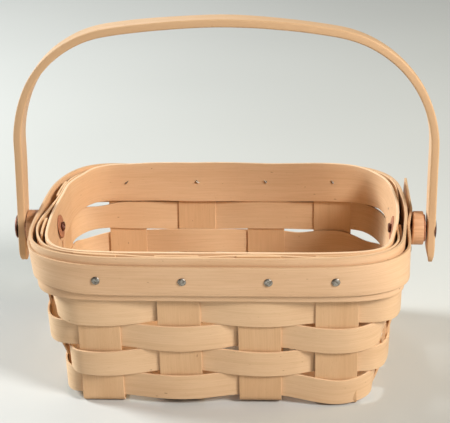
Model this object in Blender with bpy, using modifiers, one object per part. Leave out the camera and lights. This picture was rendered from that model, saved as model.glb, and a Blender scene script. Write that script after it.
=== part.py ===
# Woven splint basket with a swinging bentwood handle.
# Metres, Z up. X runs left to right, the front wall faces -Y, and the table is z = 0.

from math import asin, atan, cos, hypot, pi, sin, tan

import bmesh
import bpy
from mathutils import Matrix, Vector

# Driving dimensions
RIM_LENGTH = 0.230             # over the trim band, left to right
RIM_DEPTH = 0.1651             # over the trim band, front to back
RIM_HEIGHT = 0.1016            # top edge of both hoops above the table
CLEARANCE = 0.0003             # between pieces that lie on each other

# Splints and weavers, cut from the same thin maple
SPLINT_THICKNESS = 0.0013
UPRIGHT_WIDTH = 0.0254
LONG_COUNT = 4                 # splints that run front, under, back
CROSS_COUNT = 2                # splints that run left, under, right
LONG_END_MARGIN = 0.0454       # from the rim's outer end to the outer long splint's middle
LONG_SHIFT_SHARES = (-0.06, 0.0, 0.04, 0.0)   # of its width, each one's slip along the front
CROSS_END_MARGIN = 0.05055     # from the rim's outer side to the outer cross splint's middle
ROW_COUNT = 4                  # rows below the hoops
LAST_ROW_FOOT = 0.0042         # lower edge of the last row above the table
WEAVER_GAP = 0.001             # between one row and the next
WEAVE_MARGIN = 0.001           # a weaver lies flat this far past an upright's edges
TOP_WEAVER_REVEAL = 0.0008     # the hidden row stays this far inside the hoops' edges
UPRIGHT_DROP = 0.001           # the uprights end this far under the rim

# Hoops and trim
HOOP_HEIGHT = 0.0282
INNER_HOOP_HEIGHT = 0.0255     # its top level with the outer one's
HOOP_THICKNESS = 0.0018
TRIM_HEIGHT = 0.019
TRIM_THICKNESS = 0.0016
LAP_END_MARGIN = 0.02055       # from the rim's rear side to the trim's outer end
LAP_LENGTH = 0.012             # outer end over inner end
LAP_RAMP_LENGTH = 0.013        # over which the outer end comes down flat on the hoop
LAP_SPRING = 0.0012            # the free end stands off by this much more

# Base
FOLD_RADIUS = 0.004            # of a splint's middle, where wall turns into base
BASE_BOW = 0.0015              # the middle of the base is lifted by this much

# How the walls draw in, and how square the basket is
FRONT_TAPER_SHARE = 0.08       # of the height, front and back
END_TAPER_SHARE = 0.05         # of the height, at the two ends
END_DRAW = 0.01285             # further in at the base than at the hoops' lower edge
RIM_SQUARENESS = 5.0           # exponent of the rim's rounded outline
BAND_SQUARENESS = 8.0          # the same at the hoops' lower edge
BASE_SQUARENESS = 9.0          # exponent of the base's outline

# Tacks that hold the hoops to each upright
FRONT_TACK_SHIFT_SHARES = (0.06, 0.13, 0.22, -0.06)   # of an upright's width, off its middle
TACK_HEAD_RADIUS = 0.0025
TACK_HEAD_HEIGHT = 0.0008
TACK_HEAD_EDGE = 0.0003        # height of the head's rim, under its dome
TACK_SHANK_RADIUS = 0.0008

# Handle and the pivots it swings on
HANDLE_THICKNESS = 0.005
HANDLE_TOP_WIDTH = 0.016
HANDLE_LEG_WIDTH = 0.014
HANDLE_RISE = 0.135            # outer face of the crown above the pivots
HANDLE_TAIL = 0.0225           # leg's rounded end below the pivots
CROWN_RADIUS = 0.390           # outer face
SHOULDER_RADIUS = 0.073        # outer face
HANDLE_EDGE_RADIUS = 0.0008
SPACER_RADIUS = 0.0105
SPACER_THICKNESS = 0.0098
SHIM_RADIUS = 0.0085
SHIM_THICKNESS = 0.0008
RIVET_RADIUS = 0.0024
RIVET_HEAD_RADIUS = 0.0075
RIVET_HEAD_HEIGHT = 0.0017
RIVET_HEAD_EDGE = 0.0008       # height of the head's rim, under its dome
RIVET_END_RADIUS = 0.0031
RIVET_END_HEIGHT = 0.0014
WASHER_RADIUS = 0.0075
WASHER_THICKNESS = 0.0018
CUT_OVERRUN = 0.003            # cutters run this far past what they cut

# Facets
BAND_STEPS = 4
WIDTH_STEPS = 4
CORNER_STEPS = 8
LAP_STEPS = 3
CROWN_STEPS = 6
SHOULDER_STEPS = 9
TAIL_STEPS = 4
FOLD_STEPS = 4
WALL_STEPS = 6
ROUND_STEPS = 28
TACK_STEPS = 10
HOLE_STEPS = 12

# Layers of the wall, measured out from the middle of the uprights
WEAVE_OFFSET = SPLINT_THICKNESS + CLEARANCE
HOOP_OFFSET = 1.5 * SPLINT_THICKNESS + 2 * CLEARANCE + HOOP_THICKNESS / 2
INNER_FACE = HOOP_OFFSET + HOOP_THICKNESS / 2
TRIM_OFFSET = INNER_FACE + CLEARANCE + TRIM_THICKNESS / 2
TRIM_FACE = TRIM_OFFSET + TRIM_THICKNESS / 2
LAP_OFFSET = TRIM_THICKNESS + CLEARANCE
LAP_END_DEPTH = RIM_DEPTH / 2 - LAP_END_MARGIN
LAP_UNDER_DEPTH = LAP_END_DEPTH - LAP_LENGTH
LAP_RAMP_DEPTH = LAP_UNDER_DEPTH - LAP_RAMP_LENGTH
HALF_LENGTH = RIM_LENGTH / 2 - TRIM_FACE
HALF_DEPTH = RIM_DEPTH / 2 - TRIM_FACE
BAND_BOTTOM = RIM_HEIGHT - HOOP_HEIGHT
PIVOT_HEIGHT = RIM_HEIGHT - HOOP_HEIGHT / 2
ROW_PITCH = (BAND_BOTTOM - LAST_ROW_FOOT) / ROW_COUNT
WEAVER_WIDTH = ROW_PITCH - WEAVER_GAP

FRONT, RIGHT, BACK, LEFT = range(4)

# Colours and finishes
PALE_MAPLE = (0.78, 0.55, 0.34)
WARM_MAPLE = (0.72, 0.47, 0.27)
HANDLE_MAPLE = (0.70, 0.45, 0.24)
SPACER_WOOD = (0.60, 0.36, 0.20)
RIVET_BROWN = (0.16, 0.05, 0.03)
WASHER_BROWN = (0.42, 0.15, 0.09)
STEEL_GREY = (0.55, 0.55, 0.55)
WOOD_ROUGHNESS = 0.6
METAL_ROUGHNESS = 0.35


# The wall as a surface: its outline, points and outward direction

def half_length(z):
    below_hoops = max(0.0, BAND_BOTTOM - z)
    drawn = END_DRAW * (below_hoops / BAND_BOTTOM) ** 2
    return HALF_LENGTH - END_TAPER_SHARE * (RIM_HEIGHT - z) - drawn


def half_depth(z):
    return HALF_DEPTH - FRONT_TAPER_SHARE * (RIM_HEIGHT - z)


def squareness(z):
    if z > BAND_BOTTOM:
        share = (z - BAND_BOTTOM) / HOOP_HEIGHT
        return BAND_SQUARENESS + (RIM_SQUARENESS - BAND_SQUARENESS) * share
    return BASE_SQUARENESS + (BAND_SQUARENESS - BASE_SQUARENESS) * z / BAND_BOTTOM


def quarter_point(turn, z):
    """Point of one quarter of the outline, from the middle of the long wall at turn 0."""
    power = 2 / squareness(z)
    return half_length(z) * sin(turn) ** power, half_depth(z) * cos(turn) ** power


def turn_at_length(x, z):
    return asin((abs(x) / half_length(z)) ** (squareness(z) / 2))


def turn_at_depth(y, z):
    return pi / 2 - asin((abs(y) / half_depth(z)) ** (squareness(z) / 2))


def outward(x, y, z):
    power = squareness(z) - 1
    across = (abs(x) / half_length(z)) ** power / half_length(z)
    along = (abs(y) / half_depth(z)) ** power / half_depth(z)
    size = hypot(across, along)
    return (across if x >= 0 else -across) / size, (along if y >= 0 else -along) / size


def band_levels(low, high):
    """Heights of the rows of points between a band's lower and upper edge."""
    return [low + (high - low) * step / BAND_STEPS for step in range(BAND_STEPS + 1)]


def width_shifts(half_width):
    """Places across a splint, from one edge to the other, measured from its middle."""
    return [half_width * (2 * step / WIDTH_STEPS - 1) for step in range(WIDTH_STEPS + 1)]


class Station:
    """A place round the wall: its wall, and how far along it or round the next corner."""

    def __init__(self, wall, along, corner_share=None, end_depth=None, upright=None):
        self.wall = wall
        self.along = along
        self.corner_share = corner_share
        self.end_depth = end_depth
        self.upright = upright

    def quarter_turn(self, z):
        if self.corner_share is not None:
            start = turn_at_length(self.along, z)
            stop = turn_at_depth(self.end_depth, z)
            return start + (stop - start) * self.corner_share
        if self.wall in (FRONT, BACK):
            return turn_at_length(self.along, z)
        return turn_at_depth(self.along, z)

    def signs(self):
        x_sign = -1 if self.wall in (BACK, LEFT) else 1
        y_sign = -1 if self.wall in (FRONT, LEFT) else 1
        if self.corner_share is not None:
            return {FRONT: (1, -1), RIGHT: (1, 1), BACK: (-1, 1), LEFT: (-1, -1)}[self.wall]
        if self.wall in (FRONT, BACK):
            return (1 if self.along >= 0 else -1), y_sign
        return x_sign, (1 if self.along >= 0 else -1)

    def point(self, z, offset=0.0):
        x, y = quarter_point(self.quarter_turn(z), z)
        x_sign, y_sign = self.signs()
        x *= x_sign
        y *= y_sign
        across, along = outward(x, y, z)
        return Vector((x + across * offset, y + along * offset, z))


def centred_places(count, span):
    """Middles of evenly spaced splints, the outer two a span apart."""
    return [(index / (count - 1) - 0.5) * span for index in range(count)]


def shifted_places(places, shares):
    """The same places, each moved by a share of an upright's width; the shares start over."""
    return [place + shares[key % len(shares)] * UPRIGHT_WIDTH for key, place in enumerate(places)]


EVEN_PLACES = centred_places(LONG_COUNT, RIM_LENGTH - 2 * LONG_END_MARGIN)
LONG_PLACES = shifted_places(EVEN_PLACES, LONG_SHIFT_SHARES)
CROSS_PLACES = centred_places(CROSS_COUNT, RIM_DEPTH - 2 * CROSS_END_MARGIN)
FLAT_HALF = UPRIGHT_WIDTH / 2 + WEAVE_MARGIN
CORNER_LENGTH = max(abs(place) for place in LONG_PLACES) + FLAT_HALF
CORNER_DEPTH = CROSS_PLACES[-1] + FLAT_HALF


def wall_stations(wall):
    """Stations along one wall, in the order of a walk anticlockwise round the basket."""
    places = LONG_PLACES if wall in (FRONT, BACK) else CROSS_PLACES
    stations = []
    for number, place in enumerate(places):
        if number:
            stations.append(Station(wall, (place + places[number - 1]) / 2))
        for shift in width_shifts(FLAT_HALF):
            stations.append(Station(wall, place + shift, upright=number))
    if wall in (BACK, LEFT):
        stations.reverse()
    return stations


def corner_stations(wall, end_depth):
    """Stations round the corner after a wall, between its last upright and an end depth."""
    shares = [(step + 1) / (CORNER_STEPS + 1) for step in range(CORNER_STEPS)]
    if wall in (RIGHT, LEFT):
        shares.reverse()
    return [Station(wall, CORNER_LENGTH, corner_share=share, end_depth=end_depth) for share in shares]


def ring_stations():
    ring = []
    for wall in (FRONT, RIGHT, BACK, LEFT):
        ring += wall_stations(wall)
        ring += corner_stations(wall, CORNER_DEPTH)
    return ring


def weaver_is_outside(wall, number, row):
    """Odd rows pass outside the first upright of the front wall, counted from the left."""
    first_is_outside = wall in (FRONT, RIGHT)
    return (first_is_outside == (number % 2 == 0)) == (row % 2 == 1)


def weave_offsets(ring, row):
    """How far out the weaver's middle lies at each station, straight between uprights."""
    held = {}
    for index, station in enumerate(ring):
        if station.upright is not None:
            outside = weaver_is_outside(station.wall, station.upright, row)
            held[index] = WEAVE_OFFSET if outside else -WEAVE_OFFSET
    offsets = []
    for index in range(len(ring)):
        before = max((key for key in held if key <= index), default=max(held) - len(ring))
        after = min((key for key in held if key >= index), default=min(held) + len(ring))
        share = (index - before) / (after - before) if after > before else 0.0
        low = held[before % len(ring)]
        offsets.append(low + (held[after % len(ring)] - low) * share)
    return offsets


def bow_lift(x):
    """How far the base is lifted at a place between its outer long splints."""
    return BASE_BOW * max(0.0, 1 - (x / EVEN_PLACES[-1]) ** 2)


def wall_frame(wall, along, z, offset):
    """Matrix with its origin on the wall's layer and its Z pointing squarely out of it."""
    station = Station(wall, along)
    place = station.point(z, offset)
    taper = FRONT_TAPER_SHARE if wall in (FRONT, BACK) else END_TAPER_SHARE
    across, out = outward(place.x, place.y, z)
    axis = Vector((across, out, -taper)).normalized()
    return Matrix.Translation(place) @ axis.to_track_quat("Z", "Y").to_matrix().to_4x4()


def end_frame(side, x, lean=0.0):
    """Matrix on the pivot axis with its Z pointing out of one end, leaning down by an angle."""
    out = Vector((side * cos(lean), 0.0, -sin(lean)))
    facing = out.to_track_quat("Z", "Y").to_matrix().to_4x4()
    return Matrix.Translation((side * x, 0.0, PIVOT_HEIGHT)) @ facing


# Scene and mesh helpers

def clear_scene():
    for item in list(bpy.data.objects):
        bpy.data.objects.remove(item, do_unlink=True)


def new_collection(name):
    collection = bpy.data.collections.new(name)
    bpy.context.scene.collection.children.link(collection)
    return collection


def paint(item, colour, roughness, metallic=0.0):
    material = bpy.data.materials.new(item.name + "_finish")
    material.use_nodes = True
    shader = material.node_tree.nodes["Principled BSDF"]
    shader.inputs["Base Color"].default_value = (*colour, 1.0)
    shader.inputs["Roughness"].default_value = roughness
    shader.inputs["Metallic"].default_value = metallic
    item.data.materials.append(material)
    item.data.shade_smooth()
    item.data.set_sharp_from_angle(angle=pi / 6)


def object_from(shape, name, collection):
    mesh = bpy.data.meshes.new(name)
    shape.to_mesh(mesh)
    shape.free()
    item = bpy.data.objects.new(name, mesh)
    collection.objects.link(item)
    return item


def sheet(name, rows, collection, closed=False):
    """Open sheet through rows of points, from a grid whose vertices are moved to them."""
    rows = [list(row) + [row[0]] * closed for row in rows]
    across = len(rows[0]) - 1
    up = len(rows) - 1
    shape = bmesh.new()
    bmesh.ops.create_grid(shape, x_segments=across, y_segments=up, size=1.0)
    for vertex in shape.verts:
        column = round((vertex.co.x + 1) / 2 * across)
        row = round((vertex.co.y + 1) / 2 * up)
        vertex.co = rows[row][column]
    if closed:
        bmesh.ops.remove_doubles(shape, verts=shape.verts, dist=CLEARANCE / 100)
    return object_from(shape, name, collection)


def thicken(item, thickness):
    wall = item.modifiers.new("Thickness", "SOLIDIFY")
    wall.thickness = thickness
    wall.offset = 0.0
    wall.use_even_offset = True


def cut(item, cutter):
    hole = item.modifiers.new("Holes", "BOOLEAN")
    hole.operation = "DIFFERENCE"
    hole.solver = "EXACT"
    hole.object = cutter


def turned(name, profile, steps, place, collection, bored=False):
    """Turned solid from (radius, height) points that run down its outer side."""
    shape = bmesh.new()
    points = [shape.verts.new((radius, 0.0, height)) for radius, height in profile]
    for first, second in zip(points, points[1:] + points[:1] * bored):
        shape.edges.new((first, second))
    item = object_from(shape, name, collection)
    spin = item.modifiers.new("Turning", "SCREW")
    spin.axis = "Z"
    spin.angle = 2 * pi
    spin.steps = steps
    spin.render_steps = steps
    spin.use_merge_vertices = True
    spin.merge_threshold = CLEARANCE / 100
    item.matrix_world = place
    return item


def cutter_object(name, rods, steps, collection):
    """One cutter from several rods, each a frame, a radius and the two ends along its Z."""
    shape = bmesh.new()
    for frame, radius, low, high in rods:
        middle = frame @ Matrix.Translation((0.0, 0.0, (low + high) / 2))
        bmesh.ops.create_cone(
            shape, cap_ends=True, segments=steps, radius1=radius, radius2=radius,
            depth=high - low, matrix=middle)
    item = object_from(shape, name, collection)
    item.hide_render = True
    item.display_type = "WIRE"
    return item


# Hoops, trim and weavers

def hoop(name, side, height, ring, cutters, collection):
    levels = band_levels(RIM_HEIGHT - height, RIM_HEIGHT)
    rows = [[station.point(z, side * HOOP_OFFSET) for station in ring] for z in levels]
    item = sheet(name, rows, collection, closed=True)
    thicken(item, HOOP_THICKNESS)
    for cutter in cutters:
        cut(item, cutter)
    return item


def trim_route():
    """Stations and offsets of the trim, from its inner end round to its sprung outer end."""
    depths = [LAP_UNDER_DEPTH + LAP_LENGTH * step / LAP_STEPS for step in range(LAP_STEPS + 1)]
    route = [(Station(RIGHT, depth), 0.0) for depth in depths]
    route += [(station, 0.0) for station in corner_stations(RIGHT, LAP_END_DEPTH)]
    for wall in (BACK, LEFT, FRONT):
        route += [(station, 0.0) for station in wall_stations(wall)]
        route += [(station, 0.0) for station in corner_stations(wall, CORNER_DEPTH)]
    flat = [station for station in wall_stations(RIGHT) if station.along < LAP_RAMP_DEPTH]
    route += [(station, 0.0) for station in flat]
    route.append((Station(RIGHT, LAP_RAMP_DEPTH), 0.0))
    for step, depth in enumerate(depths):
        route.append((Station(RIGHT, depth), LAP_OFFSET + LAP_SPRING * step / LAP_STEPS))
    return route


def trim_band(cutters, collection):
    drop = (HOOP_HEIGHT - TRIM_HEIGHT) / 2
    rows = []
    for z in band_levels(BAND_BOTTOM + drop, RIM_HEIGHT - drop):
        rows.append([station.point(z, TRIM_OFFSET + extra) for station, extra in trim_route()])
    item = sheet("trim_band", rows, collection)
    thicken(item, TRIM_THICKNESS)
    for cutter in cutters:
        cut(item, cutter)
    return item


def weaver(row, levels, ring, cutters, collection):
    """One weaver; row 0 is the hidden one between the hoops."""
    offsets = weave_offsets(ring, row)
    rows = []
    for z in levels:
        points = []
        for station, offset in zip(ring, offsets):
            point = station.point(z, offset)
            point.z += bow_lift(point.x) * row / ROW_COUNT
            points.append(point)
        rows.append(points)
    item = sheet(f"weaver_row_{row}", rows, collection, closed=True)
    thicken(item, SPLINT_THICKNESS)
    for cutter in cutters:
        cut(item, cutter)
    return item


def all_weavers(ring, cutters, collection):
    top = RIM_HEIGHT - TOP_WEAVER_REVEAL
    bottom = RIM_HEIGHT - INNER_HOOP_HEIGHT + TOP_WEAVER_REVEAL
    items = [weaver(0, band_levels(bottom, top), ring, cutters, collection)]
    for row in range(1, ROW_COUNT + 1):
        high = BAND_BOTTOM - WEAVER_GAP - (row - 1) * ROW_PITCH
        items.append(weaver(row, (high - WEAVER_WIDTH, high), ring, [], collection))
    return items


# Upright splints, each one strip down a wall, under the base and up the far wall

def fold_arc(corner, lean):
    """Fold in a plane (inward, up) from a wall that leans out by an angle to a flat base."""
    bend = pi / 2 - lean
    reach = FOLD_RADIUS * tan(bend / 2)
    middle = (corner[0] + reach, corner[1] + FOLD_RADIUS)
    points = []
    for step in range(FOLD_STEPS + 1):
        angle = bend * (1 - step / FOLD_STEPS)
        points.append((middle[0] - FOLD_RADIUS * sin(angle), middle[1] - FOLD_RADIUS * cos(angle)))
    return points


def splint_half(reach_at, base_low):
    """One half of a splint's side view, as (distance from the middle, height), top first."""
    corner = (-reach_at(base_low), base_low)
    lean = atan((reach_at(base_low + FOLD_RADIUS) + corner[0]) / FOLD_RADIUS)
    fold = fold_arc(corner, lean)
    heights = band_levels(BAND_BOTTOM, RIM_HEIGHT - UPRIGHT_DROP)[::-1]
    for step in range(1, WALL_STEPS):
        heights.append(BAND_BOTTOM + (fold[0][1] - BAND_BOTTOM) * step / WALL_STEPS)
    return [(-reach_at(z), z) for z in heights] + fold


def crossing_levels(places, number, is_long, low_at):
    """Base stations of a splint where it crosses the others: (place, height)."""
    stations = []
    for other, place in enumerate(places):
        is_upper = (other + number) % 2 == (0 if is_long else 1)
        height = low_at(place) + (WEAVE_OFFSET if is_upper else 0.0)
        stations += [(place + shift, height) for shift in (-FLAT_HALF, 0.0, FLAT_HALF)]
    return stations


def splint(name, number, is_long, place, cutter, collection):
    places = CROSS_PLACES if is_long else LONG_PLACES
    columns = []
    for shift in width_shifts(UPRIGHT_WIDTH / 2):
        across = place + shift

        def reach_at(z):
            if is_long:
                return quarter_point(turn_at_length(across, z), z)[1]
            return quarter_point(turn_at_depth(across, z), z)[0]

        def low_at(along):
            return SPLINT_THICKNESS / 2 + bow_lift(place if is_long else along)

        end_low = low_at(EVEN_PLACES[-1])
        half = splint_half(reach_at, end_low)
        route = half + crossing_levels(places, number, is_long, low_at)
        route += [(-distance, height) for distance, height in reversed(half)]
        if is_long:
            columns.append([Vector((across, along, z)) for along, z in route])
        else:
            columns.append([Vector((along, across, z)) for along, z in route])
    item = sheet(name, columns, collection)
    thicken(item, SPLINT_THICKNESS)
    cut(item, cutter)
    return item


# Tacks

def tack_places():
    front_places = shifted_places(LONG_PLACES, FRONT_TACK_SHIFT_SHARES)
    for wall, name, places in ((FRONT, "front", front_places), (BACK, "back", LONG_PLACES)):
        for number, place in enumerate(places):
            yield f"tack_{name}_{number + 1}", wall, place
    for wall, name in ((RIGHT, "right"), (LEFT, "left")):
        for number, place in enumerate(CROSS_PLACES):
            yield f"tack_{name}_{number + 1}", wall, place


TACK_REACH = TRIM_FACE + INNER_FACE


def tack(name, wall, place, collection):
    """Low domed head on the trim, and a shank through to the inner hoop's inner face."""
    frame = wall_frame(wall, place, PIVOT_HEIGHT, TRIM_FACE + CLEARANCE)
    dome = TACK_HEAD_HEIGHT - TACK_HEAD_EDGE
    profile = [
        (0.0, TACK_HEAD_HEIGHT),
        (TACK_HEAD_RADIUS / 2, TACK_HEAD_EDGE + dome * 3 / 4),
        (TACK_HEAD_RADIUS, TACK_HEAD_EDGE),
        (TACK_HEAD_RADIUS, 0.0),
        (TACK_SHANK_RADIUS, 0.0),
        (TACK_SHANK_RADIUS, -TACK_REACH),
        (0.0, -TACK_REACH - TACK_SHANK_RADIUS),
    ]
    item = turned(name, profile, TACK_STEPS, frame, collection)
    paint(item, STEEL_GREY, METAL_ROUGHNESS, 1.0)


# Handle and pivots

def pivot_layers():
    """Distances from the middle of the basket to each face along the pivot axis."""
    layers = {"trim": half_length(PIVOT_HEIGHT) + TRIM_FACE}
    layers["spacer_in"] = layers["trim"] + CLEARANCE
    layers["spacer_out"] = layers["spacer_in"] + SPACER_THICKNESS
    layers["shim"] = layers["spacer_out"] + CLEARANCE
    layers["leg_in"] = layers["shim"] + SHIM_THICKNESS + CLEARANCE
    layers["leg_out"] = layers["leg_in"] + HANDLE_THICKNESS
    layers["head"] = layers["leg_out"] + CLEARANCE
    layers["washer_out"] = half_length(PIVOT_HEIGHT) - INNER_FACE - CLEARANCE
    layers["washer_in"] = layers["washer_out"] - WASHER_THICKNESS
    layers["end"] = layers["washer_in"] - CLEARANCE - RIVET_END_RADIUS * END_TAPER_SHARE
    return layers


def handle_half(layers):
    """Right half of the handle's middle line: (x, height above the pivots, width)."""
    middle = HANDLE_THICKNESS / 2
    flank = layers["leg_out"] - SHOULDER_RADIUS
    crown = asin(flank / (CROWN_RADIUS - SHOULDER_RADIUS))
    shoulder_rise = HANDLE_RISE - CROWN_RADIUS + (CROWN_RADIUS - SHOULDER_RADIUS) * cos(crown)
    points = []
    for step in range(CROWN_STEPS + 1):
        angle = crown * step / CROWN_STEPS
        radius = CROWN_RADIUS - middle
        points.append((radius * sin(angle), HANDLE_RISE - CROWN_RADIUS + radius * cos(angle)))
    for step in range(1, SHOULDER_STEPS + 1):
        angle = crown + (pi / 2 - crown) * step / SHOULDER_STEPS
        radius = SHOULDER_RADIUS - middle
        points.append((flank + radius * sin(angle), shoulder_rise + radius * cos(angle)))
    leg = layers["leg_out"] - middle
    points.append((leg, shoulder_rise / 2))
    points.append((leg, 0.0))
    route = []
    for x, rise in points:
        share = min(rise / shoulder_rise, 1.0)
        route.append((x, rise, HANDLE_LEG_WIDTH + (HANDLE_TOP_WIDTH - HANDLE_LEG_WIDTH) * share))
    round_radius = HANDLE_LEG_WIDTH / 2
    for step in range(TAIL_STEPS + 1):
        angle = pi / 2 * (1 - step / (TAIL_STEPS + 1))
        drop = HANDLE_TAIL - round_radius + round_radius * cos(angle)
        route.append((leg, -drop, HANDLE_LEG_WIDTH * sin(angle)))
    return route


def handle(layers, cutter, collection):
    rows = []
    route = handle_half(layers)
    for side in (-1, 1):
        rows.append([Vector((x, side * width / 2, rise)) for x, rise, width in route])
    item = sheet("handle", rows, collection)
    item.location.z = PIVOT_HEIGHT
    mirror = item.modifiers.new("Other half", "MIRROR")
    mirror.use_axis = (True, False, False)
    mirror.merge_threshold = CLEARANCE / 100
    thicken(item, HANDLE_THICKNESS)
    edges = item.modifiers.new("Eased edges", "BEVEL")
    edges.width = HANDLE_EDGE_RADIUS
    edges.segments = 2
    edges.limit_method = "ANGLE"
    edges.angle_limit = pi / 4
    cut(item, cutter)
    paint(item, HANDLE_MAPLE, WOOD_ROUGHNESS)


def spacer(name, side, layers, cutter, collection):
    """Wooden disc whose inner face is cut to the lean of the hoops."""
    shape = bmesh.new()
    middle = (layers["spacer_in"] + layers["spacer_out"]) / 2
    bmesh.ops.create_cone(
        shape, cap_ends=True, segments=ROUND_STEPS, radius1=SPACER_RADIUS, radius2=SPACER_RADIUS,
        depth=SPACER_THICKNESS, matrix=end_frame(side, middle))
    for vertex in shape.verts:
        if abs(vertex.co.x) < middle:
            rise = vertex.co.z - PIVOT_HEIGHT
            vertex.co.x += side * END_TAPER_SHARE * rise
    item = object_from(shape, name, collection)
    cut(item, cutter)
    paint(item, SPACER_WOOD, WOOD_ROUGHNESS)


def ring_profile(bore, radius, height):
    return [(bore, height), (radius, height), (radius, 0.0), (bore, 0.0)]


def shim(name, side, layers, collection):
    profile = ring_profile(RIVET_RADIUS + CLEARANCE, SHIM_RADIUS, SHIM_THICKNESS)
    place = end_frame(side, layers["shim"])
    item = turned(name, profile, ROUND_STEPS, place, collection, bored=True)
    paint(item, WASHER_BROWN, WOOD_ROUGHNESS)


def inner_washer(name, side, layers, cutter, collection):
    """Round washer lying against the leaning inner hoop."""
    profile = [(0.0, WASHER_THICKNESS), (WASHER_RADIUS, WASHER_THICKNESS), (WASHER_RADIUS, 0.0), (0.0, 0.0)]
    place = end_frame(side, layers["washer_in"], atan(END_TAPER_SHARE))
    item = turned(name, profile, ROUND_STEPS, place, collection)
    cut(item, cutter)
    paint(item, WASHER_BROWN, METAL_ROUGHNESS)


def rivet(name, side, layers, collection):
    """Broad head outside the leg, a shank through the wall, and an upset end inside."""
    length = layers["head"] - layers["end"]
    dome = RIVET_HEAD_HEIGHT - RIVET_HEAD_EDGE
    profile = [
        (0.0, RIVET_HEAD_HEIGHT),
        (RIVET_HEAD_RADIUS / 2, RIVET_HEAD_EDGE + dome * 3 / 4),
        (RIVET_HEAD_RADIUS, RIVET_HEAD_EDGE),
        (RIVET_HEAD_RADIUS, 0.0),
        (RIVET_RADIUS, 0.0),
        (RIVET_RADIUS, -length),
        (RIVET_END_RADIUS, -length),
        (RIVET_END_RADIUS, -length - RIVET_END_HEIGHT / 2),
        (RIVET_RADIUS, -length - RIVET_END_HEIGHT),
        (0.0, -length - RIVET_END_HEIGHT),
    ]
    item = turned(name, profile, ROUND_STEPS, end_frame(side, layers["head"]), collection)
    paint(item, RIVET_BROWN, METAL_ROUGHNESS)


def build():
    clear_scene()
    basket = new_collection("splint_basket")
    cutters = new_collection("cutters")
    layers = pivot_layers()
    ring = ring_stations()

    tack_rods = []
    for name, wall, place in tack_places():
        frame = wall_frame(wall, place, PIVOT_HEIGHT, TRIM_FACE)
        tack_rods.append((frame, TACK_SHANK_RADIUS + CLEARANCE, -TACK_REACH - CUT_OVERRUN, CUT_OVERRUN))
    tack_holes = cutter_object("tack_holes", tack_rods, TACK_STEPS, cutters)
    rivet_rods = []
    for side in (-1, 1):
        frame = end_frame(side, layers["end"])
        length = layers["head"] - layers["end"]
        rivet_rods.append((frame, RIVET_RADIUS + CLEARANCE, -CUT_OVERRUN, length + CUT_OVERRUN))
    rivet_holes = cutter_object("rivet_holes", rivet_rods, HOLE_STEPS, cutters)
    holes = [tack_holes, rivet_holes]

    inner = hoop("inner_hoop", -1, INNER_HOOP_HEIGHT, ring, holes, basket)
    paint(inner, WARM_MAPLE, WOOD_ROUGHNESS)
    outer = hoop("outer_hoop", 1, HOOP_HEIGHT, ring, holes, basket)
    paint(outer, PALE_MAPLE, WOOD_ROUGHNESS)
    paint(trim_band(holes, basket), PALE_MAPLE, WOOD_ROUGHNESS)
    for item in all_weavers(ring, holes, basket):
        paint(item, PALE_MAPLE, WOOD_ROUGHNESS)
    for number, place in enumerate(LONG_PLACES):
        item = splint(f"long_splint_{number + 1}", number, True, place, tack_holes, basket)
        paint(item, WARM_MAPLE, WOOD_ROUGHNESS)
    for number, place in enumerate(CROSS_PLACES):
        item = splint(f"cross_splint_{number + 1}", number, False, place, tack_holes, basket)
        paint(item, WARM_MAPLE, WOOD_ROUGHNESS)
    for name, wall, place in tack_places():
        tack(name, wall, place, basket)

    handle(layers, rivet_holes, basket)
    for side, name in ((-1, "left"), (1, "right")):
        rivet(f"rivet_{name}", side, layers, basket)
        spacer(f"spacer_{name}", side, layers, rivet_holes, basket)
        shim(f"thin_washer_{name}", side, layers, basket)
        inner_washer(f"inner_washer_{name}", side, layers, rivet_holes, basket)


build()
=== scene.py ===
# Woven splint basket with a swinging bentwood handle: its finish, light and camera
# Metres, Z up. The front wall faces -Y and the table is z = 0.
from math import asin, atan, ceil, cos, hypot, pi, sin, tan

import bmesh
import bpy
from mathutils import Matrix, Vector


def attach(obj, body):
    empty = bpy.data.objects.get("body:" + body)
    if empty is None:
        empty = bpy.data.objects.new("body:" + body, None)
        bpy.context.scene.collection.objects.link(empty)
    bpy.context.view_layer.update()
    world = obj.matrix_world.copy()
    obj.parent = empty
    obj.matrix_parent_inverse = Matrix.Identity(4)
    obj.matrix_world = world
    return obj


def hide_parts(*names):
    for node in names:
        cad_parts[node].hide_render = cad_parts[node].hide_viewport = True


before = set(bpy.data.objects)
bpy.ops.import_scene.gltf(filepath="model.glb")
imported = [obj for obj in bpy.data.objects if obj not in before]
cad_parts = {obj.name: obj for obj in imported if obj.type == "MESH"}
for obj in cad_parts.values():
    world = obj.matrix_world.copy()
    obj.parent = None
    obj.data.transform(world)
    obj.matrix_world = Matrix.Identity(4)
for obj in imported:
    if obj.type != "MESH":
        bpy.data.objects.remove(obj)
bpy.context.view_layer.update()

print("frame loaded:", len(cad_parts), "nodes")

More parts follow.
